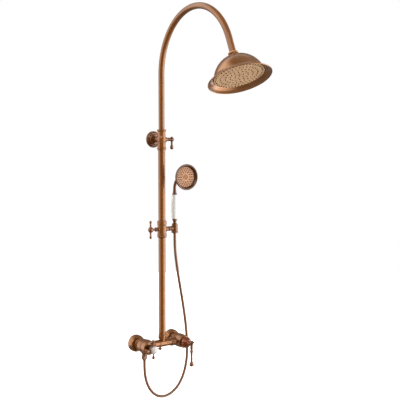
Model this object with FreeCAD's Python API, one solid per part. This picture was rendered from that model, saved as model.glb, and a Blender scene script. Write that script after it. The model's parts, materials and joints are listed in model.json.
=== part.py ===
import FreeCAD, Part
import math
import os

# Wall-mounted bath and shower column with an arched pipe, a tilting rain head, a hand shower
# on a sliding holder, a cross-handled diverter and a lever mixer.
# Millimetres. The wall is the plane Y = 0 and the room is on the -Y side. +Z is up, +X is right.
# The origin lies on the wall, midway between the two valves, at their height.

V = FreeCAD.Vector

# ---- driving dimensions ----
VALVE_X = 75.0             # the two valves stand 150 mm apart
INLET_SHIFT = -4.0         # the eccentric connectors bring both wall outlets this far sideways
STANDOFF = 58.0            # wall to the riser's axis
INLET_THREAD_R = 10.48     # G 1/2
INLET_THREAD_LENGTH = 15.0
RISER_R = 12.5             # 25 mm lower tube
RISER_BORE_R = 11.0
RISER_FOOT_Z = 18.0
RISER_TOP_Z = 722.5
PIPE_R = 10.5              # 21 mm arched pipe, which telescopes in the riser
PIPE_BORE_R = 9.3
PIPE_FOOT_Z = 515.0
ARCH_START_Z = 959.0
ARCH_R = 209.5
ARCH_SWEEP = 156.33        # degrees from vertical to the arm's end direction
ARM_STRAIGHT = 46.0
BRACKET_Z = 732.0
COLLAR_LOW_Z = 692.6
COLLAR_TOP_Z = 767.0
HEAD_R = 101.6             # 8 inch rain head
HEAD_BELL_H = 94.3         # rim plane to the arm's end
BALL_R = 9.0
BALL_H = 77.3              # ball centre above the rim plane
FACE_RECESS = 12.0         # the rain head's face plate lies this deep inside its rim
FACE_R = 79.6
NOZZLE_RINGS = ((14.5, 6), (29.0, 14), (44.0, 22), (59.0, 32), (74.0, 44))
SLIDER_Z = 413.0
HOLDER_X = 54.0
HAND_FACE_Z = 600.0
HAND_FACE_Y = -140.0
HAND_HEAD_R = 45.5
HOSE_D = 10.0
HOSE_END_Z = -51.0
RUNNING = 0.05             # radial clearance of a running fit
GAP = 0.3                  # clearance between curved faces of different bodies
MIXER_BACK = 6.0           # the lever valve's front parts sit this much nearer to the wall
PIVOT_H = 97.0             # lever pivot's distance from the wall
CAP_R = 20.4

# The hose's route, from the hand shower's cone nut down to the outlet nut.
HOSE_ROUTE = (
    (54.0, -58.0, 394.0),
    (54.0, -58.0, 348.0),
    (59.0, -58.0, 300.0),
    (72.0, -57.0, 226.0),
    (90.0, -54.5, 142.0),
    (105.0, -51.0, 62.0),
    (112.0, -50.0, -4.0),
    (112.5, -50.0, -60.0),
    (105.5, -51.0, -101.0),
    (91.0, -54.0, -138.0),
    (67.0, -57.0, -171.5),
    (34.5, -58.0, -193.5),
    (-1.0, -58.0, -199.0),
    (-34.0, -58.0, -184.5),
    (-57.5, -58.0, -155.0),
    (-70.5, -58.0, -121.0),
    (-75.0, -58.0, -85.0),
    (-75.0, -58.0, HOSE_END_Z),
)

UP = V(0, 0, 1)
DOWN = V(0, 0, -1)
RIGHT = V(1, 0, 0)
LEFT = V(-1, 0, 0)
OUT = V(0, -1, 0)
ORIGIN = V(0, 0, 0)


# ---- building blocks ----
def crown_middle(start, end):
    """The middle of an arc centred on the axis, when one of its two ends lies on the axis."""
    pole, edge = (start, end) if start.x < 1e-9 else (end, start)
    rise = pole.z - edge.z
    radius = (edge.x**2 + rise**2) / (2 * rise)
    centre = pole.z - radius
    angle = 0.5 * math.atan2(edge.x, (edge.z - centre) * math.copysign(1, rise))
    return V(abs(radius) * math.sin(angle), 0, centre + radius * math.cos(angle))


def outline(points):
    """A face in the XZ plane. (r, h) is a corner, (mid r, mid h, r, h) an arc to a corner and
    ("crown", r, h) a piece of a ball centred on the axis, to or from a point on the axis."""
    edges = []
    first = V(points[0][0], 0, points[0][1])
    start = first
    for point in points[1:]:
        end = V(point[-2], 0, point[-1])
        if point[0] == "crown":
            edges.append(Part.Arc(start, crown_middle(start, end), end).toShape())
        elif len(point) == 4:
            edges.append(Part.Arc(start, V(point[0], 0, point[1]), end).toShape())
        else:
            edges.append(Part.LineSegment(start, end).toShape())
        start = end
    if (start - first).Length > 1e-6:
        edges.append(Part.LineSegment(start, first).toShape())
    return Part.Face(Part.Wire(edges))


def placed(shape, at, along):
    """Moves a shape built on the Z axis so that Z points along the given direction."""
    shape.Placement = FreeCAD.Placement(at, FreeCAD.Rotation(UP, along))
    return shape


def turned(points, at=ORIGIN, along=UP):
    """A lathe-turned solid from (radius, height) points."""
    return placed(outline(points).revolve(ORIGIN, UP, 360), at, along)


def rod(radius, low, high, at=ORIGIN, along=UP):
    return placed(Part.makeCylinder(radius, high - low, V(0, 0, low)), at, along)


def ring(inner, outer, low, high, at=ORIGIN, along=UP):
    return turned([(inner, low), (outer, low), (outer, high), (inner, high)], at, along)


def block(low, high):
    size = V(*high) - V(*low)
    return Part.makeBox(size.x, size.y, size.z, V(*low))


def hexagon(across_flats, low, high, at=ORIGIN, along=UP):
    corner_r = across_flats / math.sqrt(3)
    corners = []
    for i in range(7):
        angle = math.radians(60 * i)
        corners.append(V(corner_r * math.cos(angle), corner_r * math.sin(angle), low))
    prism = Part.Face(Part.makePolygon(corners)).extrude(V(0, 0, high - low))
    return placed(prism, at, along)


def joined(first, *others):
    return first.fuse(list(others)).removeSplitter()


def on_sphere(radius, degrees):
    """(r, h) of a point on a sphere about the local origin, degrees away from +h."""
    angle = math.radians(degrees)
    return (radius * math.sin(angle), radius * math.cos(angle))


def sphere_band(inner, outer, start, end, at, along):
    """The part of a spherical shell between two angles from the axis."""
    middle = 0.5 * (start + end)
    points = [
        on_sphere(inner, start),
        on_sphere(outer, start),
        on_sphere(outer, middle) + on_sphere(outer, end),
        on_sphere(inner, end),
        on_sphere(inner, middle) + on_sphere(inner, start),
    ]
    return turned(points, at, along)


def save(name, shape):
    if shape.ShapeType == "Compound" and len(shape.Solids) == 1:
        shape = shape.Solids[0]
    if not shape.isValid() or not shape.Solids:
        raise ValueError(name + " is not a valid solid")
    shape.exportStep("parts/" + name + ".step")


# ---- wall inlets ----
def inlet_connector(side):
    wall = V(side * VALVE_X + INLET_SHIFT, 0, 0)
    valve = V(side * VALVE_X, 0, 0)
    body = joined(
        rod(INLET_THREAD_R, -INLET_THREAD_LENGTH, 0, wall, OUT),
        rod(13.0, 0, 12, wall, OUT),
        rod(13.2, 8, 34, valve, OUT),
    )
    return body.cut([rod(7.0, -16, 10, wall, OUT), rod(9.0, 9.5, 35, valve, OUT)])


def wall_flange(side):
    wall = V(side * VALVE_X + INLET_SHIFT, 0, 0)
    shell = turned(
        [(0, 0), (30.5, 0), (30.5, 5), (30, 15, 27, 22.6), (26, 24), (0, 24)], wall, OUT
    )
    cavity = turned([(0, -1), (28.5, -1), (28.5, 6), (28, 14, 25.4, 20.5), (0, 20.5)], wall, OUT)
    return shell.cut([cavity, rod(21.8, 15, 30, V(side * VALVE_X, 0, 0), OUT)])


def union_nut(side):
    points = [
        (13.3, 21.5), (21.5, 21.5), (21.5, 27), (22.9, 28.7, 21.7, 30.5),
        (22.0, 40), (11.3, 40), (11.3, 37), (13.3, 37),
    ]
    return turned(points, V(side * VALVE_X, 0, 0), OUT)


def inlet_washers():
    return Part.makeCompound(
        [ring(9.5, 12.9, 34, 35.2, V(side * VALVE_X, 0, 0), OUT) for side in (-1, 1)]
    )


# ---- mixer body ----
CAVITY_R = 17.0
CAVITY_BACK = 67.0         # along each valve's own axis
BODY_FRONT = 88.0
DIVERTER = V(-VALVE_X, 0, 0)
MIXER = V(VALVE_X, MIXER_BACK, 0)
PIVOT = V(VALVE_X, -PIVOT_H, 0)


def inlet_tail(side):
    at = V(side * VALVE_X, 0, 0)
    return joined(rod(11.0, 35.2, 42, at, OUT), rod(13.0, 35.2, 36.8, at, OUT))


def mixer_body():
    left = V(-VALVE_X, 0, 0)
    right = MIXER
    left_barrel = turned(
        [
            (0, 40), (23, 40), (24.4, 48), (24.8, 66), (25.2, 68), (26.8, 71.5, 25.2, 75),
            (24.6, 77), (24.6, BODY_FRONT), (0, BODY_FRONT),
        ],
        left, OUT,
    )
    right_barrel = turned(
        [
            (0, 46), (22.4, 46), (24.6, 64, 23.6, 81), (23.0, BODY_FRONT), (0, BODY_FRONT),
        ],
        right, OUT,
    )
    bar_axis = V(0, -STANDOFF, 0)
    bar = turned(
        [
            (0, -62), (17, -62), (15.5, -50), (13.4, -40), (15.8, -37, 13.4, -34),
            (12.8, -18), (13.6, -12), (13.6, 12), (12.8, 18), (13.4, 34),
            (15.8, 37, 13.4, 40), (15.5, 50), (17, 62), (0, 62),
        ],
        bar_axis, RIGHT,
    )
    riser_boss = joined(rod(11.0, 0, 16, bar_axis), rod(9.2, 16, 24, bar_axis))
    outlet = V(-VALVE_X, -STANDOFF, 0)
    outlet_boss = turned(
        [(0, 0), (12, 0), (12, 23), (9.4, 27.5), (8.3, 29), (8.3, 42), (0, 42)],
        outlet, DOWN,
    )
    body = joined(
        left_barrel, right_barrel, bar, riser_boss, outlet_boss, inlet_tail(-1), inlet_tail(1)
    )
    waterways = [rod(6.0, -VALVE_X, VALVE_X, bar_axis, RIGHT)]
    for at in (left, right):
        waterways.append(rod(8.0, 36, 70, at, OUT))
        waterways.append(rod(CAVITY_R, CAVITY_BACK, BODY_FRONT + 1, at, OUT))
    for side in (-1, 1):
        waterways.append(rod(8.0, 30, 60, V(side * VALVE_X, 0, 0), OUT))
    waterways.append(rod(6.5, 0, 30, bar_axis))
    waterways.append(rod(5.0, 0, 50, outlet, DOWN))
    return body.cut(waterways)


# ---- diverter, on the left ----
ARM_PLANE_H = 120.0        # cross handle arms' distance from the wall


def diverter_cartridge():
    housing = turned(
        [(0, 67), (16.8, 67), (16.8, 86), (9, 86), (9, 98), (0, 98)], DIVERTER, OUT
    )
    return housing.cut(rod(4.0 + RUNNING, 79, 99, DIVERTER, OUT))


def retaining_ring(at, outer, front):
    points = [
        (9.7, 86.3), (16.8, 86.3), (16.8, 88.05), (outer, 88.05), (outer, front - 5),
        (outer - 0.5, front - 1.5, outer - 2.4, front), (outer - 4.4, front),
        (17.8, front - 3), (17.8, 90), (9.7, 90),
    ]
    return turned(points, at, OUT)


def diverter_stem():
    stem = rod(4.0, 80, 123, DIVERTER, OUT)
    return stem.cut(rod(2.0, 108, 124, DIVERTER, OUT))


def finial_arm(at, along, start, tip):
    """A turned arm with a slim waist and an acorn end, from start to tip along its direction."""
    neck = tip - 12
    points = [
        (0, start), (4.4, start), (2.9, start + 6), (2.5, neck), (3.4, neck + 1.5),
        (5.7, neck + 6, 4.6, neck + 9), (3.4, tip - 2.2), ("crown", 0, tip),
    ]
    return turned(points, at, along)


def diverter_cross_handle():
    hub = turned(
        [
            (0, 103), (8.2, 103), (9, 106), (7, 110, 10, 113.5), (13.6, 117, 13.2, 123),
            (14, 125), (14, 127), (0, 127),
        ],
        DIVERTER, OUT,
    )
    centre = V(-VALVE_X, -ARM_PLANE_H, 0)
    arms = [finial_arm(centre, way, 9, 34.5) for way in (RIGHT, LEFT, UP, DOWN)]
    handle = joined(hub, *arms)
    return handle.cut([rod(4.1, 102, 123.5, DIVERTER, OUT), rod(6.5, 123.4, 128, DIVERTER, OUT)])


def diverter_handle_screw():
    return joined(rod(1.9, 110, 125, DIVERTER, OUT), rod(4.0, 123.7, 126.4, DIVERTER, OUT))


def diverter_button():
    points = [(0, 127), (12.4, 127), (13.4, 128.2), (12.6, 130), ("crown", 0, 134.2)]
    return turned(points, DIVERTER, OUT)


# ---- lever mixer, on the right ----
LEVER_H = 38.5             # lever axis in front of its pivot


def mixer_cartridge():
    return turned([(0, 67), (16.8, 67), (16.8, 86), (9.2, 86), (9.2, 91), (0, 91)], MIXER, OUT)


def mixer_yoke():
    """Turns on the cartridge and carries the lever's pivot pin between two ears."""
    disc = rod(11.0, -11.7, -8.5, PIVOT, OUT)
    ears = []
    for x in (VALVE_X - 8.5, VALVE_X + 8.5):
        ears.append(block((x - 1.5, -PIVOT_H - 4, -4), (x + 1.5, -PIVOT_H + 9, 4)))
    return joined(disc, *ears).cut(rod(1.5, -20, 20, PIVOT, RIGHT))


def mixer_pivot_pin():
    return rod(1.5, -10, 10, PIVOT, RIGHT)


def mixer_dome():
    """Spherical cover around the pivot, with a slot in which the lever's stem lifts."""
    shell = sphere_cap(16.2, CAP_R - 2.2, 103)
    slot = block((VALVE_X - 4.6, -130, -5.5), (VALVE_X + 4.6, -PIVOT_H - 8, 12.5))
    return shell.cut(slot)


def sphere_cap(inner, outer, degrees):
    """A spherical shell's cap at the front of the pivot."""
    half = 0.5 * degrees
    points = [
        (0, inner), (0, outer),
        on_sphere(outer, half) + on_sphere(outer, degrees),
        on_sphere(inner, degrees),
        on_sphere(inner, half) + (0, inner),
    ]
    return turned(points, PIVOT, OUT)


def lever_stem():
    ball = Part.makeSphere(6.0, PIVOT)
    stem = joined(ball, rod(4.0, 0, 19.9, PIVOT, OUT))
    return stem.cut(rod(1.5 + RUNNING, -20, 20, PIVOT, RIGHT))


def lever_cap():
    cap = sphere_cap(CAP_R - 1.9, CAP_R, 74)
    neck = turned(
        [(0, 18.6), (8.2, 18.6), (6.6, 21.5, 5.8, 25), (5.6, 30), (0, 30)], PIVOT, OUT
    )
    return joined(cap, neck).cut(rod(4.1, -3, 20, PIVOT, OUT))


def lever_rod():
    at = PIVOT + OUT * LEVER_H
    points = [
        (0, -80.5), ("crown", 7.4, -78), (8.2, -75), (7.6, -70), (4.6, -64, 3.9, -56), (3.7, -42),
        (4.2, -30), (5.8, -27, 5.8, -24), (4.4, -21), (4.5, -15), (5.6, -11), (4.2, -6),
        (6.6, 0, 7.2, 6), ("crown", 0, 13.5),
    ]
    stub = rod(5.0, 30, LEVER_H, PIVOT + V(0, 0, 2), OUT)
    return joined(turned(points, at), stub)


def lever_finial():
    tip_way = V(0, -math.cos(math.radians(14)), math.sin(math.radians(14)))
    start = PIVOT + OUT * LEVER_H + V(0, 0, 7)
    finial = turned(
        [(0, 0), (4.2, 0), (4.2, 8), (2.6, 10), (3.2, 12), (1.9, 15), (1.2, 17.5), (0, 18)],
        start, tip_way,
    )
    return finial.cut(lever_rod())


# ---- riser ----
RISER = V(0, -STANDOFF, 0)


def riser_nut():
    points = [
        (RISER_R + 0.1, 18), (RISER_R + 0.5, 16.2), (13.8, 16.2), (14.3, 18), (14.3, 27),
        (13.7, 31), (RISER_R + 0.1, 31),
    ]
    return turned(points, RISER)


def riser_seal():
    return ring(9.4, 10.9, 18.2, 21.2, RISER)


def riser_tube():
    return ring(RISER_BORE_R, RISER_R, RISER_FOOT_Z, RISER_TOP_Z, RISER)


# ---- wall bracket ----
STUD_IN_WALL = 35.0
ARM_FRONT = 41.0           # the arm screws into the collar's rear boss here
BRACKET_WALL = V(0, 0, BRACKET_Z)
BRACKET_AXIS = V(0, -STANDOFF, BRACKET_Z)


def bracket_stud():
    """A hanger bolt: an M8 screw end in the wall and an M6 machine end in the bracket's arm."""
    return joined(
        rod(4.0, -STUD_IN_WALL, 0, BRACKET_WALL, OUT), rod(3.0, 0, 18, BRACKET_WALL, OUT)
    )


def bracket_rosette():
    points = [
        (9.3, 0), (29.6, 0), (29.6, 3), (27.9, 5.2), (26.6, 5.2), (26, 7.6), (22.8, 10.4),
        (20.6, 10.4), (19.8, 13.4, 15.4, 15.6), (12.4, 16.4), (12.4, 19), (9.3, 19),
    ]
    return turned(points, BRACKET_WALL, OUT)


def bracket_arm():
    arm = turned(
        [
            (0, 0), (9, 0), (9, 30), (11.4, 31, 11.4, 34), (9.6, 35.5), (9.6, ARM_FRONT),
            (0, ARM_FRONT),
        ],
        BRACKET_WALL, OUT,
    )
    return arm.cut(rod(3.1, -1, 19, BRACKET_WALL, OUT))


def bracket_collar():
    low = COLLAR_LOW_Z
    top = COLLAR_TOP_Z
    points = [
        (RISER_R + 0.1, low), (14.4, low), (14.4, low + 4), (16.6, low + 5.5),
        (16.6, low + 9), (14.4, low + 11), (14.2, 719), (16, 719.8), (16.4, 721.6, 16, 723.4),
        (14.8, 724.4), (16, 732, 14.6, 741), (13.8, 744), (13.8, top - 8),
        (16.4, top - 4.5), (16.8, top - 1.2), (15.8, top), (11.4, top), (11.4, 724),
        (RISER_R + 0.1, 724),
    ]
    body = turned(points, RISER)
    side_boss = turned([(0, 11), (8.4, 11), (8.4, 18), (7.6, 20), (0, 20)], BRACKET_AXIS, RIGHT)
    rear_boss = rod(9.6, ARM_FRONT, STANDOFF, BRACKET_WALL, OUT)
    bosses = joined(side_boss, rear_boss).cut(rod(13.8, -30, 30, BRACKET_AXIS))
    body = joined(body, bosses)
    return body.cut(rod(4.5 + RUNNING, 8, 30, BRACKET_AXIS, RIGHT))


def collar_bush():
    points = [
        (PIPE_R + RUNNING, 744), (11.3, 744), (11.3, 766.6), (PIPE_R + RUNNING, 766.6)
    ]
    return turned(points, RISER)


def lock_screw():
    points = [
        (0, 11.4), (4.5, 11.4), (4.5, 21), (6.4, 21.5), (6.4, 24), (5.4, 25.5), (5.4, 27.5),
        (6.4, 29), (6.4, 32), (5.2, 34.5), (5.2, 37), (0, 37),
    ]
    return turned(points, BRACKET_AXIS, RIGHT)


def lock_lever():
    hub = turned(
        [(0, 37), (6.4, 37), (7.2, 40), (7.2, 45), (5.6, 48.6), ("crown", 0, 50.4)],
        BRACKET_AXIS, RIGHT,
    )
    at = BRACKET_AXIS + V(42.5, 0, 0)
    arm = turned(
        [
            (0, 0), (4.2, 0), (4.2, 7), (3.4, 11), (3.3, 17), (4.9, 23, 6.2, 29.5),
            ("crown", 0, 36),
        ],
        at, DOWN,
    )
    crown = turned([(0, 0), (5.0, 0), (5.0, 6.4), ("crown", 0, 9.8)], at, UP)
    return joined(hub, arm, crown)


# ---- telescoping arched pipe ----
ARCH_CENTRE = V(0, -STANDOFF - ARCH_R, ARCH_START_Z)


def arch_point(degrees):
    angle = math.radians(degrees)
    return ARCH_CENTRE + V(0, ARCH_R * math.cos(angle), ARCH_R * math.sin(angle))


END_ANGLE = math.radians(ARCH_SWEEP)
HEAD_WAY = V(0, -math.sin(END_ANGLE), math.cos(END_ANGLE))   # from the arm towards the rim
BELL_WAY = HEAD_WAY * -1
ARM_END = arch_point(ARCH_SWEEP) + HEAD_WAY * ARM_STRAIGHT
RIM = ARM_END + HEAD_WAY * HEAD_BELL_H
BALL = RIM + BELL_WAY * BALL_H


def pipe_wire(end):
    foot = V(0, -STANDOFF, PIPE_FOOT_Z + 12)
    start = arch_point(0)
    bend = arch_point(ARCH_SWEEP)
    return Part.Wire(
        [
            Part.LineSegment(foot, start).toShape(),
            Part.Arc(start, arch_point(0.5 * ARCH_SWEEP), bend).toShape(),
            Part.LineSegment(bend, end).toShape(),
        ]
    )


def swept(radius, wire, at, along):
    circle = Part.Wire(Part.makeCircle(radius, at, along))
    return wire.makePipeShell([circle], True, False)


def gooseneck_pipe():
    foot = V(0, -STANDOFF, PIPE_FOOT_Z + 12)
    wire = pipe_wire(ARM_END)
    tube = swept(PIPE_R, wire, foot, UP).cut(swept(PIPE_BORE_R, wire, foot, UP))
    spigot = turned(
        [
            (PIPE_BORE_R - 1.3, PIPE_FOOT_Z), (10.3, PIPE_FOOT_Z), (10.3, PIPE_FOOT_Z + 1.5),
            (PIPE_BORE_R, PIPE_FOOT_Z + 1.5), (PIPE_BORE_R, PIPE_FOOT_Z + 12),
            (PIPE_R, PIPE_FOOT_Z + 12), (PIPE_R, PIPE_FOOT_Z + 15),
            (PIPE_BORE_R - 1.3, PIPE_FOOT_Z + 15),
        ],
        RISER,
    )
    return joined(tube, spigot)


def pipe_seal_carrier():
    low = PIPE_FOOT_Z + 1.5 + GAP
    high = PIPE_FOOT_Z + 12 - GAP
    return ring(PIPE_BORE_R + RUNNING, RISER_BORE_R - RUNNING, low, high, RISER)


def arm_ball():
    neck_r = 5.0
    base = BALL_R * math.cos(math.asin(neck_r / BALL_R))
    fitting = turned(
        [
            (0, base), (neck_r, base), (neck_r, 10.6), (15.6, 10.6), (16.6, 11.8), (16.4, 14),
            (15.2, 15.4), (12.4, 16.2), (11.4, 17), (0, 17),
        ],
        BALL, BELL_WAY,
    )
    ball = joined(Part.makeSphere(BALL_R, BALL), fitting)
    return ball.cut(rod(3.5, -12, 20, BALL, BELL_WAY))


# ---- rain head ----
def ball_seat_ring():
    return sphere_band(BALL_R + RUNNING, 10.5, 56, 124, BALL, BELL_WAY)


def ball_cup():
    return sphere_band(10.5 + RUNNING, 12.0, 56, 124, BALL, BELL_WAY)


def head_ball_nut():
    """Collar nut around the ball joint. Its cavity is a sphere about the ball's centre."""
    cavity_r = 12.0 + RUNNING
    body = turned(
        [
            (0, -13.5), (12.5, -13.5), (14.5, -11.5), (14.5, 1.3), (17.4, 1.3), (17.4, 2.4),
            (15.8, 3.8), (14, 5), (12.6, 6.4), (0, 6.4),
        ],
        BALL, BELL_WAY,
    )
    return body.cut([Part.makeSphere(cavity_r, BALL), rod(6.0, -15, 0, BALL, BELL_WAY)])


def head_shell():
    """A thin spun bell with a flared, rolled lip."""
    outer = [
        (14.8, 78.3), (20, 78.0), (57.6, 56.2, 78.7, 20), (82.2, 14.8, 87.4, 10.2),
        (93, 5.8, 99.4, 3.2), (HEAD_R, 1.8, HEAD_R - 1.4, 0),
    ]
    inner = [
        (98.6, 1.4), (91.8, 4, 86, 8.6), (80.8, 13.4, 77.0, 18.8), (56.2, 54.6, 19.6, 76.0),
        (14.8, 76.3),
    ]
    return turned(outer + inner, RIM, BELL_WAY)


def head_face_plate():
    back = FACE_RECESS + 2.6
    points = [
        (0, FACE_RECESS), (FACE_R, FACE_RECESS), (FACE_R, back - 1.2), (FACE_R - 1.2, back),
        (0, back),
    ]
    return turned(points, RIM, BELL_WAY)


def nozzle_places(rings):
    places = [(0.0, 0.0)]
    for radius, count in rings:
        for i in range(count):
            angle = 2 * math.pi * i / count
            places.append((radius * math.cos(angle), radius * math.sin(angle)))
    return places


def head_nozzles():
    """Soft rubber jets, moulded as separate nubs that stand on the face plate."""
    turn = FreeCAD.Rotation(UP, BELL_WAY)
    nubs = []
    for x, y in nozzle_places(NOZZLE_RINGS):
        at = RIM + turn.multVec(V(x, y, 0))
        nubs.append(rod(1.6, FACE_RECESS - 2.0, FACE_RECESS, at, BELL_WAY))
    return Part.makeCompound(nubs)


# ---- slider ----
SLIDER = V(0, -STANDOFF, SLIDER_Z)


def slider_bush():
    half = 29.0
    outer = 13.6
    flange = half + 1.5
    points = [
        (RISER_R + RUNNING, -flange), (outer + 1.4, -flange), (outer + 1.4, -half),
        (outer, -half), (outer, half), (RISER_R + RUNNING, half),
    ]
    return turned(points, SLIDER)


def slider_collar():
    inner = 13.6 + RUNNING
    points = [
        (inner, -28.7), (16, -28.7), (16.8, -27.5), (16.8, -25), (16, -23.5), (16.8, -22),
        (16.8, -17.5), (15.4, -15.5), (16.6, 0, 15.4, 14), (16.8, 16.5), (16.8, 28),
        (16, 29.5), (inner, 29.5),
    ]
    body = turned(points, SLIDER)
    left = turned([(0, 12), (8.2, 12), (8.2, 16.5), (6.8, 19), (0, 19)], SLIDER, LEFT)
    left = left.cut(rod(14.5, -30, 30, SLIDER))
    right = turned([(0, 12), (8.6, 12), (8.6, 19), (0, 19)], SLIDER, RIGHT)
    right = right.cut(rod(14.5, -30, 30, SLIDER))
    body = joined(body, left, right)
    return body.cut([rod(3.5 + RUNNING, 10, 30, SLIDER, LEFT), rod(3.0, 10, 30, SLIDER, RIGHT)])


def slider_clamp_screw():
    points = [
        (0, 14.2), (3.5, 14.2), (3.5, 19.3), (4.8, 20.8), (7.8, 25.4, 4.8, 30), (3.9, 31.5),
        (3.9, 37), (0, 37),
    ]
    return turned(points, SLIDER, LEFT)


def slider_cross_knob():
    hub = turned(
        [
            (0, 37), (4.4, 37), (8.6, 41.5), (9.6, 44), (9.6, 49), (8.8, 51),
            ("crown", 0, 56),
        ],
        SLIDER, LEFT,
    )
    at = SLIDER + V(-47, 0, 0)
    arms = []
    for way in (UP, DOWN):
        arms.append(
            turned(
                [
                    (0, 5), (5.4, 5), (3.2, 12), (2.6, 20), (3.0, 23), (4.3, 27, 3.4, 30),
                    ("crown", 0, 32.4),
                ],
                at, way,
            )
        )
    return joined(hub, *arms)


def holder_arm():
    arm = turned(
        [(0, 19), (8.6, 19), (8.6, 20.6), (7.3, 22.4), (7.3, 25.6), (0, 25.6)], SLIDER, RIGHT
    )
    return joined(arm, rod(3.0, 15, 20, SLIDER, RIGHT)).cut(rod(2.5, 22, 27, SLIDER, RIGHT))


def holder_pin():
    return rod(2.5, 22, 37, SLIDER, RIGHT)


def holder_cup():
    """A tapered seat for the cone nut, open on the outer side so that the hose slips through."""
    at = V(HOLDER_X, -STANDOFF, 0)
    cup = turned(
        [
            (0, 396.6), (12, 396.6), (12.4, 398.5), (12, 401), (11.2, 402.5), (10.9, 414),
            (10.4, 428.6), (0, 429.2),
        ],
        at,
    )
    boss = turned(
        [
            (0, 26), (7.3, 26), (8.2, 28.2), (8.2, 32), (7.4, 33.4), (7.4, 35.2),
            (8.2, 36.6), (8.4, 41), (9, 45), (0, 45),
        ],
        SLIDER, RIGHT,
    )
    seat = turned([(0, 390), (7.0, 390), (7.0, 396.6), (8.9, 429.2), (8.9, 435), (0, 435)], at)
    slot = block((HOLDER_X, -STANDOFF - 6.2, 390), (HOLDER_X + 20, -STANDOFF + 6.2, 435))
    return joined(cup, boss).cut([seat, slot, rod(2.5 + RUNNING, 25, 37.5, SLIDER, RIGHT)])


# ---- hand shower ----
HAND = V(HOLDER_X, -STANDOFF, 0)
HANDLE_LOW = 447.0
HANDLE_TOP = 534.0
HAND_BEND_R = 46.0


def hose_cone_nut():
    points = [
        (0, 394), (6.3, 394), (6.6, 397), (8.4, 427.5), (8.2, 430.5), (6.4, 431.6), (0, 431.6)
    ]
    return turned(points, HAND)


def handle_bottom_ferrule():
    points = [
        (0, 431.6), (5.6, 431.6), (5.8, 434), (6.2, 436), (6.8, 440, 8.6, 443), (8.8, 444.4),
        (8.8, 446), (8.4, HANDLE_LOW), (0, HANDLE_LOW),
    ]
    return turned(points, HAND)


def porcelain_handle():
    points = [
        (5.1, HANDLE_LOW), (8.8, HANDLE_LOW), (9.8, HANDLE_LOW + 1.4),
        (12.5, 484, 9.0, HANDLE_TOP - 1), (8.2, HANDLE_TOP), (5.1, HANDLE_TOP),
    ]
    return turned(points, HAND)


def handle_core_tube():
    return ring(3.6, 5.0, HANDLE_LOW, HANDLE_TOP, HAND)


def handle_top_ferrule():
    points = [
        (0, HANDLE_TOP), (8.4, HANDLE_TOP), (8.8, 535.4), (8.2, 538), (7.2, 540.4), (0, 540.4)
    ]
    return turned(points, HAND)


def hand_shower_neck():
    """A tapering neck that rises and then turns forward into the back of the head."""
    bend_start = HAND_FACE_Z - HAND_BEND_R
    rise = turned([(0, 540.4), (6.6, 540.4), (5.4, bend_start), (0, bend_start)], HAND)
    centre = V(HOLDER_X, -STANDOFF - HAND_BEND_R, bend_start)
    start = centre + V(0, HAND_BEND_R, 0)
    middle = centre + V(0, 1, 1).normalize() * HAND_BEND_R
    corner = centre + V(0, 0, HAND_BEND_R)
    end = V(HOLDER_X, HAND_FACE_Y + 32, HAND_FACE_Z)
    wire = Part.Wire(
        [
            Part.Arc(start, middle, corner).toShape(),
            Part.LineSegment(corner, end).toShape(),
        ]
    )
    bend = swept(5.4, wire, start, UP)
    return joined(rise, bend)


def hand_shower_head():
    """The bell of the hand shower, open at the front around its recessed face."""
    at = V(HOLDER_X, HAND_FACE_Y, HAND_FACE_Z)
    back = V(0, 1, 0)
    outer = [
        (0, 32), (8, 31.6), (24, 28, 36, 17), (41, 12.4), (43, 10.6), (44, 6),
        (HAND_HEAD_R, 4.6), (HAND_HEAD_R, 1.4), (HAND_HEAD_R - 1.6, 0),
    ]
    inner = [(41.6, 0.4), (37.6, 4.5, 36.2, 9), (36.2, 15), (0, 15)]
    return turned(outer + inner, at, back)


def hand_shower_face():
    at = V(HOLDER_X, HAND_FACE_Y, HAND_FACE_Z)
    back = V(0, 1, 0)
    plate = turned([(0, 9.2), (36, 9.2), (36, 14.9), (0, 14.9)], at, back)
    nubs = []
    for x, z in nozzle_places(((18.5, 12), (25.2, 18), (31.8, 24)))[1:]:
        nubs.append(rod(1.1, 7.7, 9.3, at + V(x, 0, z), back))
    badge = turned([(0, 8.0), (6.5, 8.0), (8.5, 9.3), (0, 9.3)], at, back)
    return joined(plate, badge, *nubs)


# ---- hose ----
def hose_outlet_nut():
    at = V(-VALVE_X, -STANDOFF, 0)
    nut = joined(hexagon(20, 34.2, 46, at, DOWN), rod(7.0, 45, -HOSE_END_Z, at, DOWN))
    return nut.cut(rod(8.4, 33, 44.5, at, DOWN))


def outlet_washer():
    return ring(5.2, 8.0, 42.2, 44.3, V(-VALVE_X, -STANDOFF, 0), DOWN)


def rounded_route(points):
    """Straight runs joined by tangent arcs that are as large as the runs allow."""
    places = [V(*point) for point in points]
    edges = []
    radii = []
    start = places[0]
    for before, corner, after in zip(places, places[1:], places[2:]):
        arrive = corner - before
        leave = after - corner
        reach = 0.45 * min(arrive.Length, leave.Length)
        arrive.normalize()
        leave.normalize()
        half_turn = 0.5 * arrive.getAngle(leave)
        radius = reach / math.tan(half_turn)
        radii.append(radius)
        arc_start = corner - arrive * reach
        arc_end = corner + leave * reach
        inward = (leave - arrive).normalize()
        middle = corner + inward * (radius / math.cos(half_turn) - radius)
        edges.append(Part.LineSegment(start, arc_start).toShape())
        edges.append(Part.Arc(arc_start, middle, arc_end).toShape())
        start = arc_end
    edges.append(Part.LineSegment(start, places[-1]).toShape())
    return Part.Wire(edges), radii


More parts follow.
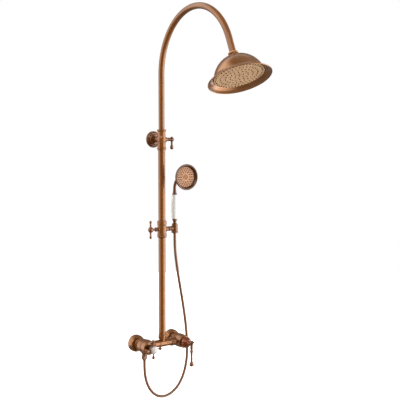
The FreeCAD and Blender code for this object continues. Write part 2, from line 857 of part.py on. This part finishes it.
def hose():
    wire, radii = rounded_route(HOSE_ROUTE)
    tube = swept(0.5 * HOSE_D, wire, V(*HOSE_ROUTE[0]), V(*HOSE_ROUTE[1]) - V(*HOSE_ROUTE[0]))
    section = math.pi * (0.5 * HOSE_D) ** 2
    print("hose length", round(wire.Length, 1), "radii", [round(radius) for radius in radii])
    print("hose volume over section times length", round(tube.Volume / section / wire.Length, 4))
    return tube


def main():
    os.makedirs("parts", exist_ok=True)
    for word, side in (("left", -1), ("right", 1)):
        save(word + "_inlet_connector", inlet_connector(side))
        save(word + "_wall_flange", wall_flange(side))
        save(word + "_union_nut", union_nut(side))
    save("diverter_retaining_ring", retaining_ring(DIVERTER, 24.6, 98.0))
    save("mixer_retaining_ring", retaining_ring(MIXER, 23.0, 96.5))
    sub_parts = (
        inlet_washers, mixer_body, diverter_cartridge, diverter_stem, diverter_cross_handle,
        diverter_handle_screw, diverter_button, mixer_cartridge, mixer_yoke, mixer_pivot_pin,
        mixer_dome, lever_stem, lever_cap, lever_rod, lever_finial, riser_nut, riser_seal,
        riser_tube, bracket_stud, bracket_rosette, bracket_arm, bracket_collar, collar_bush,
        lock_screw, lock_lever, gooseneck_pipe, pipe_seal_carrier, arm_ball, ball_seat_ring,
        ball_cup, head_ball_nut, head_shell, head_face_plate, head_nozzles, slider_bush,
        slider_collar, slider_clamp_screw, slider_cross_knob, holder_arm, holder_pin,
        holder_cup, hose_cone_nut, handle_bottom_ferrule, porcelain_handle, handle_core_tube,
        handle_top_ferrule, hand_shower_neck, hand_shower_head, hand_shower_face,
        hose_outlet_nut, outlet_washer, hose,
    )
    for sub_part in sub_parts:
        save(sub_part.__name__, sub_part())


main()
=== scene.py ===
import json
import math

import bpy
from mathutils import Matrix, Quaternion, Vector


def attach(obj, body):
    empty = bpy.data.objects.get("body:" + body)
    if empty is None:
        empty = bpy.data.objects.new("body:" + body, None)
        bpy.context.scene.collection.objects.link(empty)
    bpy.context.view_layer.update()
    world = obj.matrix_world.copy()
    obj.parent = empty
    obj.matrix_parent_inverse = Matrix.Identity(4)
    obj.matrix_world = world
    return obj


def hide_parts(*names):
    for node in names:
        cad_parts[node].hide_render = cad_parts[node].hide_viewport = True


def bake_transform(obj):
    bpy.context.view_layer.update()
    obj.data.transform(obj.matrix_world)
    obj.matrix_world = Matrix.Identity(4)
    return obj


# Looks for a wall-mounted shower column in aged copper with white porcelain grips.
# Metres, in the frame of the CAD model: +Z is up, the wall is the plane Y = 0, the room is at -Y.

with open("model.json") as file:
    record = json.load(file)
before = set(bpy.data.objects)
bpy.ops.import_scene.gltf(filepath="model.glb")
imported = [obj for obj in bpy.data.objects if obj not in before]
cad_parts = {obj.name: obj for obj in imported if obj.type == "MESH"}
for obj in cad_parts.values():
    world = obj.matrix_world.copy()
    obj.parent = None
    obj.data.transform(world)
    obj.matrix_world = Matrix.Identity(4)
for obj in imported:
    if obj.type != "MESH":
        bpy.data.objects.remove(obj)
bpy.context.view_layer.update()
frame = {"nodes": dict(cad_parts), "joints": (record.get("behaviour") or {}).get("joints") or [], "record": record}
scene = bpy.context.scene
nodes = frame["nodes"]

X_AXIS, Y_AXIS, Z_AXIS = (1, 0, 0), (0, 1, 0), (0, 0, 1)
RISER = Vector((0.0, -0.058, 0.0))
DIVERTER = Vector((-0.075, -0.058, 0.0))
LEVER = Vector((0.075, -0.058, 0.0))
HAND = Vector((0.054, -0.058, 0.0))
SLIDER_Z = 0.413
BRACKET_Z = 0.732
HAND_FACE = Vector((0.054, -0.140, 0.600))

# The rain head's rim centre, and the way from the rim to the arm.
joint_of = {j["name"]: j for j in frame["joints"]}
HEAD_DOWN = Vector(joint_of["head_spin"]["axis"]).normalized()
HEAD_UP = -HEAD_DOWN
RIM = Vector(joint_of["head_spin"]["pos_m"]) + HEAD_DOWN * 0.0773
FACE_DEPTH = 0.012


# ---- camera ----
def make_camera():
    data = bpy.data.cameras.new("camera")
    data.lens = 72.0
    data.sensor_width = 36.0
    data.clip_start = 0.05
    data.clip_end = 60.0
    camera = bpy.data.objects.new("camera", data)
    scene.collection.objects.link(camera)
    camera.location = (-1.49048, -2.47692, 0.7344)
    camera.rotation_mode = "QUATERNION"
    looking = Vector((0.56303, 0.82290, -0.07637))
    camera.rotation_quaternion = looking.to_track_quat("-Z", "Y")
    scene.camera = camera
    return looking


# ---- node trees ----
class Tree:
    """A short way to write a shader's nodes."""

    def __init__(self, owner):
        owner.use_nodes = True
        self.tree = owner.node_tree
        self.tree.nodes.clear()

    def add(self, kind, **settings):
        node = self.tree.nodes.new("ShaderNode" + kind)
        for key, value in settings.items():
            if hasattr(node, key):
                setattr(node, key, value)
            else:
                node.inputs[key.replace("_", " ")].default_value = value
        return node

    def link(self, output, socket):
        self.tree.links.new(output, socket)

    def math(self, operation, first, second):
        node = self.add("Math", operation=operation)
        for socket, value in zip(node.inputs, (first, second)):
            if isinstance(value, (int, float)):
                socket.default_value = value
            else:
                self.link(value, socket)
        return node.outputs[0]

    def vector(self, operation, first, second):
        node = self.add("VectorMath", operation=operation)
        for socket, value in zip(node.inputs, (first, second)):
            if isinstance(value, (tuple, Vector)):
                socket.default_value = value
            else:
                self.link(value, socket)
        return node.outputs["Value" if operation in ("DOT_PRODUCT", "LENGTH") else "Vector"]

    def noise(self, coordinates, scale, detail=3.0, rough=0.55):
        node = self.add("TexNoise", Scale=scale, Detail=detail, Roughness=rough)
        self.link(coordinates, node.inputs["Vector"])
        return node.outputs["Fac"]

    def ramp(self, factor, low, high, bottom=0.0, top=1.0):
        """Maps low..high to bottom..top, held at both ends."""
        node = self.add("MapRange", clamp=True)
        self.link(factor, node.inputs["Value"])
        for name, value in (
            ("From Min", low), ("From Max", high), ("To Min", bottom), ("To Max", top)
        ):
            node.inputs[name].default_value = value
        return node.outputs["Result"]

    def mix(self, factor, first, second):
        node = self.add("Mix", data_type="RGBA")
        self.link(factor, node.inputs["Factor"])
        for socket, value in ((node.inputs[6], first), (node.inputs[7], second)):
            if isinstance(value, tuple):
                socket.default_value = value + (1.0,)
            else:
                self.link(value, socket)
        return node.outputs[2]


def srgb(red, green, blue):
    """Linear colour from 0-255 display values."""
    return tuple(
        c / 12.92 if c <= 0.04045 else ((c + 0.055) / 1.055) ** 2.4
        for c in (red / 255, green / 255, blue / 255)
    )


CREAM = srgb(250, 206, 162)
LIGHT = srgb(226, 178, 132)
PEACH = srgb(160, 106, 60)
PALE = srgb(144, 86, 24)
WARM = srgb(122, 68, 14)
DEEP = srgb(96, 50, 10)
DARK = srgb(74, 42, 16)
RED = srgb(134, 54, 16)
RUBBED = srgb(188, 130, 74)
# Near-black brown laid into hollows and between parts: the copper's patina together with painted shade.
PATINA_AND_SHADE = srgb(30, 16, 7)


def lathe_coordinates(tree, place, centre, axis):
    """(distance from the axis, height along it, 0): rings on a turned surface are level lines."""
    local = tree.vector("SUBTRACT", place, Vector(centre))
    radius = tree.vector("LENGTH", tree.vector("CROSS_PRODUCT", local, Vector(axis)), (0, 0, 0))
    height = tree.vector("DOT_PRODUCT", local, Vector(axis))
    both = tree.add("CombineXYZ")
    tree.link(radius, both.inputs[0])
    tree.link(height, both.inputs[1])
    return both.outputs[0]


def metal(
    name, pale, deep, grain=None, lathe=None, grain_scale=900.0, rough=(0.34, 0.44),
    metallic=0.32, bump=0.07, cloud=24.0, recess_reach=0.006, wear=0.35,
):
    """Aged copper plate under lacquer: a clouded tone, a fine machined grain along the way the
    piece was turned or drawn, dark patina mixed with painted shade in the hollows and where parts
    meet, and a rubbed tone on the edges."""
    material = bpy.data.materials.new(name)
    tree = Tree(material)
    place = tree.add("TexCoord").outputs["Object"]
    if lathe:
        lines = lathe_coordinates(tree, place, *lathe)
        stretch = tree.vector("MULTIPLY", lines, (grain_scale, grain_scale, 1.0))
    else:
        stretch = tree.vector("MULTIPLY", place, grain or (grain_scale,) * 3)
    fine = tree.noise(stretch, 1.0, 2.0, 0.6)
    clouds = tree.noise(place, cloud, 4.0, 0.55)
    spots = tree.noise(place, cloud * 7, 3.0, 0.6)
    tone = tree.math(
        "ADD", tree.math("MULTIPLY", clouds, 0.74),
        tree.math("ADD", tree.math("MULTIPLY", spots, 0.12), tree.math("MULTIPLY", fine, 0.14)),
    )
    colour = tree.mix(tree.ramp(tone, 0.28, 0.66), deep, pale)
    edges = tree.add("AmbientOcclusion", samples=8, only_local=True, inside=True, Distance=0.0012)
    colour = tree.mix(tree.ramp(edges.outputs["AO"], 0.35, 0.80, wear, 0.0), colour, RUBBED)
    # Painted shade: ambient occlusion, which also reaches neighbouring parts, darkens hollows, creases and the
    # joints between parts towards near-black brown, on top of the copper's real patina in its hollows.
    hollow_shade = tree.add("AmbientOcclusion", samples=8, Distance=recess_reach)
    colour = tree.mix(tree.ramp(hollow_shade.outputs["AO"], 0.25, 0.80, 0.9, 0.0), colour, PATINA_AND_SHADE)
    shader = tree.add("BsdfPrincipled", Metallic=metallic)
    tree.link(colour, shader.inputs["Base Color"])
    worn = tree.math("ADD", tree.math("MULTIPLY", fine, 0.4), tree.math("MULTIPLY", spots, 0.6))
    tree.link(tree.ramp(worn, 0.35, 0.65, *rough), shader.inputs["Roughness"])
    shader.inputs["Specular IOR Level"].default_value = 0.1
    shader.inputs["Coat Weight"].default_value = 1.0
    shader.inputs["Coat Roughness"].default_value = 0.10
    shader.inputs["Coat IOR"].default_value = 1.55
    bumps = tree.add("Bump", Strength=bump, Distance=0.00003)
    tree.link(fine, bumps.inputs["Height"])
    tree.link(bumps.outputs["Normal"], shader.inputs["Normal"])
    tree.link(shader.outputs[0], tree.add("OutputMaterial").inputs["Surface"])
    return material


def dielectric(name, low, high, rough, scale, bump=0.1, coat=0.0):
    """Porcelain, rubber or plastic: a soft change of tone and a fine moulded or glazed surface."""
    material = bpy.data.materials.new(name)
    tree = Tree(material)
    place = tree.add("TexCoord").outputs["Object"]
    broad = tree.noise(place, scale, 3.0)
    fine = tree.noise(place, scale * 24, 2.0)
    shader = tree.add("BsdfPrincipled", Metallic=0.0)
    tree.link(tree.mix(tree.ramp(broad, 0.3, 0.7), low, high), shader.inputs["Base Color"])
    tree.link(tree.ramp(fine, 0.3, 0.7, *rough), shader.inputs["Roughness"])
    shader.inputs["Coat Weight"].default_value = coat
    shader.inputs["Coat Roughness"].default_value = 0.04
    bumps = tree.add("Bump", Strength=bump, Distance=0.00006)
    tree.link(fine, bumps.inputs["Height"])
    tree.link(bumps.outputs["Normal"], shader.inputs["Normal"])
    tree.link(shader.outputs[0], tree.add("OutputMaterial").inputs["Surface"])
    return material


# ---- meshes ----
def add_piece(name, vertices, faces, material, smooth=True):
    mesh = bpy.data.meshes.new(name)
    mesh.from_pydata([tuple(v) for v in vertices], [], faces)
    mesh.validate()
    mesh.polygons.foreach_set("use_smooth", [smooth] * len(mesh.polygons))
    mesh.materials.append(material)
    piece = bpy.data.objects.new(name, mesh)
    scene.collection.objects.link(piece)
    return piece


def square_frame(along):
    """Two directions at right angles to the given one."""
    along = Vector(along).normalized()
    aside = along.orthogonal().normalized()
    return aside, along.cross(aside)


def lathe(profile, at, along, sides):
    """Vertices and faces of a turned shape from (radius, height) points, closed where radius is 0."""
    aside, across = square_frame(along)
    vertices, faces, rings = [], [], []
    for radius, height in profile:
        middle = Vector(at) + Vector(along) * height
        if radius < 1e-7:
            rings.append([len(vertices)])
            vertices.append(middle)
            continue
        rings.append(list(range(len(vertices), len(vertices) + sides)))
        for i in range(sides):
            angle = 2 * math.pi * i / sides
            vertices.append(middle + radius * (aside * math.cos(angle) + across * math.sin(angle)))
    for lower, upper in zip(rings, rings[1:]):
        for i in range(sides):
            j = (i + 1) % sides
            corners = [lower[i % len(lower)], lower[j % len(lower)]]
            corners += [upper[j % len(upper)], upper[i % len(upper)]]
            faces.append(list(dict.fromkeys(corners)))
    return vertices, faces


def combined(shapes):
    vertices, faces = [], []
    for part_vertices, part_faces in shapes:
        start = len(vertices)
        vertices += part_vertices
        faces += [[start + i for i in face] for face in part_faces]
    return vertices, faces


# ---- hose ----
HOSE_ROUTE = (
    (0.0540, -0.0580, 0.3940), (0.0540, -0.0580, 0.3480), (0.0590, -0.0580, 0.3000),
    (0.0720, -0.0570, 0.2260), (0.0900, -0.0545, 0.1420), (0.1050, -0.0510, 0.0620),
    (0.1120, -0.0500, -0.0040), (0.1125, -0.0500, -0.0600), (0.1055, -0.0510, -0.1010),
    (0.0910, -0.0540, -0.1380), (0.0670, -0.0570, -0.1715), (0.0345, -0.0580, -0.1935),
    (-0.0010, -0.0580, -0.1990), (-0.0340, -0.0580, -0.1845), (-0.0575, -0.0580, -0.1550),
    (-0.0705, -0.0580, -0.1210), (-0.0750, -0.0580, -0.0850), (-0.0750, -0.0580, -0.0510),
)
HOSE_R = 0.0050
STRIP_PITCH = 0.0022


def spline_points(route):
    """The centre line of a NURBS curve whose control points are the route."""
    curve = bpy.data.curves.new("hose_line", "CURVE")
    curve.dimensions = "3D"
    curve.resolution_u = 48
    spline = curve.splines.new("NURBS")
    spline.points.add(len(route) - 1)
    for point, place in zip(spline.points, route):
        point.co = (*place, 1.0)
    spline.order_u = 3
    spline.use_endpoint_u = True
    line = bpy.data.objects.new("hose_line", curve)
    scene.collection.objects.link(line)
    evaluated = line.evaluated_get(bpy.context.evaluated_depsgraph_get())
    mesh = bpy.data.meshes.new_from_object(evaluated)
    points = [vertex.co.copy() for vertex in mesh.vertices]
    bpy.data.objects.remove(line)
    bpy.data.curves.remove(curve)
    bpy.data.meshes.remove(mesh)
    return points


def even_points(points, step):
    """Points every step metres along a line, the ends kept."""
    lengths = [0.0]
    for a, b in zip(points, points[1:]):
        lengths.append(lengths[-1] + (b - a).length)
    count = max(2, round(lengths[-1] / step))
    made, at = [], 0
    for i in range(count + 1):
        target = lengths[-1] * i / count
        while at < len(points) - 2 and lengths[at + 1] < target:
            at += 1
        share = (target - lengths[at]) / max(lengths[at + 1] - lengths[at], 1e-9)
        made.append(points[at].lerp(points[at + 1], min(share, 1.0)))
    return made, lengths[-1]


def tube(points, radius_at, sides):
    """A closed tube along points. Its section keeps its heading from ring to ring."""
    vertices, faces = [], []
    heading = None
    for i, place in enumerate(points):
        ahead = points[min(i + 1, len(points) - 1)] - points[max(i - 1, 0)]
        ahead.normalize()
        if heading is None:
            heading = ahead.orthogonal()
        heading = (heading - ahead * heading.dot(ahead)).normalized()
        across = ahead.cross(heading)
        for k in range(sides):
            angle = 2 * math.pi * k / sides
            way = heading * math.cos(angle) + across * math.sin(angle)
            vertices.append(place + way * radius_at(i))
    for i in range(len(points) - 1):
        for k in range(sides):
            a, b = i * sides + k, i * sides + (k + 1) % sides
            faces.append([a, b, b + sides, a + sides])
    faces.append(list(range(sides))[::-1])
    last = (len(points) - 1) * sides
    faces.append(list(range(last, last + sides)))
    return vertices, faces


STRIP_STEPS = 5
# The right leg of the hose is cut at these heights.
LOOP_TOP = 0.200
MIDDLE_TOP = 0.310
# The hand shower's own end of hose, inside the upper length.
LEAD_TOP = 0.3965
LEAD_STEP = 0.0005
LEAD_POINTS = 86
LEAD_THINNER = 0.86
STRIP_SHAPE = (0.90, 0.975, 1.0, 0.995, 0.965)


def strip_radius(radius):
    """The rounded turns of a metal strip hose."""
    return lambda i: radius * STRIP_SHAPE[i % STRIP_STEPS]


def make_hose(material):
    """The hose in three lengths, cut at two heights on its right leg."""
    points, whole = even_points(spline_points(HOSE_ROUTE), STRIP_PITCH / STRIP_STEPS)
    points.reverse()
    right_leg = [i for i, p in enumerate(points) if p.x > 0.05 and p.z > 0.10]

    def split_at(height):
        first = next(i for i in right_leg if points[i].z > height)
        return first - first % STRIP_STEPS

    cuts = [0, split_at(LOOP_TOP), split_at(MIDDLE_TOP), len(points) - 1]
    spans = (
        ("hose_loop", "column", "slider_bush", (0.02, -0.058, -0.08), (0.08, -0.058, 0.198),
         ("hose_outlet_nut", "outlet_washer")),
        ("hose_middle", "slider_bush", "slider", (0.078, -0.058, 0.203), (0.060, -0.058, 0.306),
         ()),
        ("hose_top", "slider", "holder", (0.057, -0.058, 0.314), (0.054, -0.058, 0.388),
         ("hose_cone_nut",)),
    )
    made = []
    for (name, parent, child, start, end, on_it), low, high in zip(spans, cuts, cuts[1:]):
        stretch = points[low:high + 1]
        piece = add_piece(name, *tube(stretch, strip_radius(HOSE_R), 20), material)
        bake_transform(piece)
        made.append(piece)
    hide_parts("hose")
    # The end that the cone nut pulls out of the holder when the hand shower is lifted.
    lead = [HAND + Vector((0, 0, LEAD_TOP - LEAD_STEP * i)) for i in range(LEAD_POINTS)]
    piece = add_piece("hose_lead", *tube(lead, strip_radius(HOSE_R * LEAD_THINNER), 16), material)
    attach(piece, "hand_shower")
    return made


# ---- nozzles ----
def nozzle_places(rings):
    places = [(0.0, 0.0)]
    for radius, count in rings:
        for i in range(count):
            angle = 2 * math.pi * i / count
            places.append((radius * math.cos(angle), radius * math.sin(angle)))
    return places


NOZZLE = (
    (0.00175, 0.0), (0.00175, 0.0005), (0.00145, 0.0012), (0.0013, 0.0018), (0.0010, 0.0021),
    (0.0006, 0.0021), (0.0005, 0.0012), (0.0, 0.0012),
)
RAIN_RINGS = ((0.0145, 6), (0.029, 14), (0.044, 22), (0.059, 32), (0.074, 44))
HAND_RINGS = ((0.0185, 12), (0.0252, 18), (0.0318, 24))


def make_rain_nozzles(material):
    turn = Quaternion(Vector(Z_AXIS).cross(HEAD_UP).normalized(), Vector(Z_AXIS).angle(HEAD_UP))
    face = RIM + HEAD_UP * FACE_DEPTH
    shapes = [
        lathe(NOZZLE, face + turn @ Vector((x, y, 0)), HEAD_DOWN, 10)
        for x, y in nozzle_places(RAIN_RINGS)
    ]
    piece = add_piece("rain_nozzles", *combined(shapes), material)
    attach(piece, "rain_head")
    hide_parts("head_nozzles")


def make_hand_face(plate_material, nozzle_material):
    """The hand shower's face: a plate with turned steps, a raised centre ring and rubber jets."""
    back = HAND_FACE + Vector((0, 0.0149, 0))
    front = 0.0057
    profile = [(0.0, 0.0), (0.0358, 0.0), (0.0358, front - 0.0006), (0.0352, front)]
    for groove in (0.0285, 0.0219, 0.0150):
        for offset, depth in ((0.0007, 0.0), (0.0004, 0.0004), (-0.0004, 0.0004), (-0.0007, 0.0)):
            profile.append((groove + offset, front - depth))
    profile += [
        (0.0092, front), (0.0086, front + 0.0009), (0.0074, front + 0.0013),
        (0.0063, front + 0.0007), (0.0060, front - 0.0003), (0.0044, front - 0.0003),
        (0.0036, front + 0.0004), (0.0020, front + 0.0009), (0.0, front + 0.0010),
    ]
    plate = add_piece("hand_face_plate", *lathe(profile, back, (0, -1, 0), 72), plate_material)
    plate.data.set_sharp_from_angle(angle=math.radians(35))
    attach(plate, "hand_shower")
    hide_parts("hand_shower_face")
    shapes = [
        lathe(NOZZLE, back + Vector((x, -front, z)), (0, -1, 0), 10)
        for x, z in nozzle_places(HAND_RINGS)[1:]
    ]
    jets = add_piece("hand_nozzles", *combined(shapes), nozzle_material)
    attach(jets, "hand_shower")


# ---- materials by node ----
def turned(name, centre, axis, pale=PALE, deep=WARM, **more):
    return metal(name, pale, deep, lathe=(centre, axis), **more)


looking = make_camera()

copper_plain = metal(
    "copper_plain", PALE, WARM, grain_scale=700.0, rough=(0.22, 0.34), metallic=0.6, wear=0.6
)
copper_pipe = metal("copper_pipe", PALE, WARM, grain=(1400.0, 1400.0, 26.0), bump=0.04, cloud=12.0, wear=0.0)
copper_dark = metal("copper_dark", WARM, DEEP, grain_scale=800.0)
copper_hose = metal("copper_hose", WARM, DEEP, rough=(0.36, 0.48), recess_reach=0.002)
porcelain = dielectric(
    "porcelain", srgb(240, 243, 246), srgb(245, 247, 248), (0.08, 0.14), 30.0, 0.02, 0.5
)
porcelain_button = dielectric(
    "porcelain_button", srgb(186, 182, 180), srgb(198, 195, 192), (0.08, 0.14), 60.0, 0.05, 0.6
)
rubber = dielectric("nozzle_rubber", srgb(50, 30, 20), srgb(74, 46, 32), (0.5, 0.65), 260.0, 0.3)
seal = dielectric("seal_rubber", srgb(24, 24, 24), srgb(38, 37, 36), (0.6, 0.75), 260.0, 0.3)
# Painted shade: the diverter cartridge is coloured near-black to stand for the dark recess inside the left valve's
# front ring.
plastic = dielectric("cartridge", srgb(46, 38, 34), srgb(64, 54, 48), (0.35, 0.5), 120.0, 0.2)
bush = dielectric("bush", srgb(48, 38, 32), srgb(66, 54, 46), (0.4, 0.55), 160.0, 0.2)
brass = metal("raw_brass", srgb(200, 160, 84), srgb(168, 130, 62))
steel = metal("steel", srgb(178, 176, 172), srgb(140, 138, 136), wear=0.0, metallic=1.0)
diverter_turned = turned("diverter_turned", DIVERTER, Y_AXIS, rough=(0.22, 0.34), metallic=0.6)
lever_turned = turned(
    "lever_turned", LEVER, Y_AXIS, rough=(0.22, 0.34), metallic=0.6, recess_reach=0.003
)
lever_red = turned("lever_red", LEVER, Y_AXIS, pale=RED, deep=DEEP)
rosette_turned = turned("rosette_turned", (0, 0, BRACKET_Z), Y_AXIS, pale=WARM, deep=DEEP)
riser_turned = turned("riser_turned", RISER, Z_AXIS)
hand_turned = turned("hand_turned", HAND, Z_AXIS, pale=WARM, deep=DEEP)
head_turned = turned(
    "head_turned", RIM, HEAD_UP, pale=PEACH, deep=PALE, rough=(0.20, 0.30), metallic=0.6,
    recess_reach=0.002,
)
face_turned = turned(
    "face_turned", RIM, HEAD_UP, pale=CREAM, deep=LIGHT, metallic=0.1, recess_reach=0.0012,
    wear=0.0,
)
nut_turned = turned("nut_turned", RIM, HEAD_UP, pale=LIGHT, deep=PEACH, recess_reach=0.001)
hand_rim_turned = turned("hand_rim_turned", HAND_FACE, Y_AXIS, pale=DEEP, deep=DARK)
hand_face_turned = turned(
    "hand_face_turned", HAND_FACE, Y_AXIS, pale=PEACH, deep=PALE, recess_reach=0.0012
)
lock_turned = turned("lock_turned", (0, -0.058, BRACKET_Z), X_AXIS, pale=WARM, deep=DEEP)
knob_turned = turned("knob_turned", (0, -0.058, SLIDER_Z), X_AXIS, pale=WARM, deep=DEEP)

BY_SLOT = {
    "aged_copper": copper_plain, "copper_dark": copper_dark, "porcelain": porcelain,
    "hose_metal": copper_hose, "rubber_dark": rubber, "rubber_black": seal,
    "cartridge_plastic": plastic, "brass_raw": brass, "steel": steel, "bush_plastic": bush,
}
BY_NODE = {
    "riser_tube": copper_pipe, "gooseneck_pipe": copper_pipe,
    "diverter_button": porcelain_button,
    "left_wall_flange": diverter_turned, "left_union_nut": diverter_turned,
    "diverter_retaining_ring": diverter_turned,
    "right_wall_flange": lever_turned, "right_union_nut": lever_turned,
    "mixer_retaining_ring": lever_turned, "mixer_dome": lever_red, "lever_cap": lever_red,
    "riser_nut": riser_turned, "bracket_collar": riser_turned, "slider_collar": riser_turned,
    "bracket_rosette": rosette_turned, "bracket_arm": rosette_turned,
    "lock_screw": lock_turned, "slider_clamp_screw": knob_turned, "holder_arm": knob_turned,
    "holder_cup": hand_turned, "hose_cone_nut": hand_turned,
    "handle_bottom_ferrule": hand_turned, "handle_top_ferrule": hand_turned,
    "hand_shower_head": hand_rim_turned, "hand_shower_face": hand_face_turned,
    "head_shell": head_turned, "head_face_plate": face_turned,
    "head_ball_nut": nut_turned, "arm_ball": nut_turned,
}

slot_of = {s["node"]: s["material_slot"] for s in frame["record"]["subparts"]}
for name, node in nodes.items():
    material = BY_NODE.get(name) or BY_SLOT[slot_of[name]]
    node.data.materials.clear()
    node.data.materials.append(material)

make_hose(copper_hose)
make_rain_nozzles(rubber)
make_hand_face(hand_face_turned, rubber)


# ---- floor, light ----
def make_floor():
    """A pale floor. The metal doesn't see it, so that the studio reaches round the undersides."""
    material = bpy.data.materials.new("floor")
    tree = Tree(material)
    place = tree.add("TexCoord").outputs["Object"]
    tone = tree.mix(tree.noise(place, 3.0), (0.86, 0.86, 0.86), (0.90, 0.90, 0.90))
    pale = tree.add("BsdfPrincipled", Roughness=0.7)
    tree.link(tone, pale.inputs["Base Color"])
    pale.inputs["Emission Strength"].default_value = 1.0
    pale.inputs["Emission Color"].default_value = (1, 1, 1, 1)
    both = tree.add("MixShader")
    tree.link(tree.add("LightPath").outputs["Is Camera Ray"], both.inputs[0])
    tree.link(tree.add("BsdfTransparent").outputs[0], both.inputs[1])
    tree.link(pale.outputs[0], both.inputs[2])
    tree.link(both.outputs[0], tree.add("OutputMaterial").inputs["Surface"])
    floor = add_piece(
        "floor", *lathe([(0.0, 0.0), (4.0, 0.0)], (0, 0, -0.42), Z_AXIS, 64), material, False
    )


def make_world():
    """A white studio with a wide soft light on each side and one above the viewer's left. It is
    dim where the viewer stands, so that round metal shows bright flanks and a dark core."""
    world = bpy.data.worlds.new("studio")
    scene.world = world
    tree = Tree(world)
    way = tree.add("TexCoord").outputs["Generated"]
    toward = Vector((-looking.x, -looking.y, 0)).normalized()
    aside = toward.cross(Vector(Z_AXIS)) * -1
    front = tree.vector("DOT_PRODUCT", way, toward)
    height = tree.vector("DOT_PRODUCT", way, Vector(Z_AXIS))
    rightward = tree.ramp(tree.vector("DOT_PRODUCT", way, aside), 0.15, 0.35)
    dim, floor_tone = (0.35, 0.35, 0.35), (0.30, 0.27, 0.24)
    left = tree.mix(tree.ramp(height, 0.70, 0.90), (2.1, 2.0, 1.85), dim)
    left = tree.mix(tree.ramp(height, -0.20, -0.50), left, floor_tone)
    right = tree.mix(tree.ramp(height, 0.36, 0.60), (3.6, 3.6, 3.5), dim)
    right = tree.mix(tree.ramp(height, -0.42, -0.74), right, floor_tone)
    studio = tree.mix(rightward, left, right)
    studio = tree.mix(tree.ramp(front, -0.38, -0.75), studio, (0.22, 0.20, 0.18))
    viewer = tree.math(
        "MULTIPLY", tree.ramp(front, 0.42, 0.84), tree.ramp(height, 0.30, 0.48, 1.0, 0.0)
    )
    studio = tree.mix(viewer, studio, (0.16, 0.13, 0.10))
    seen = tree.add("LightPath").outputs["Is Camera Ray"]
    colour = tree.mix(seen, studio, (1.0, 1.0, 1.0))
    background = tree.add("Background", Strength=1.0)
    tree.link(colour, background.inputs["Color"])
    tree.link(background.outputs[0], tree.add("OutputWorld").inputs["Surface"])


make_floor()
make_world()
scene.view_settings.view_transform = "Standard"
scene.view_settings.look = "None"
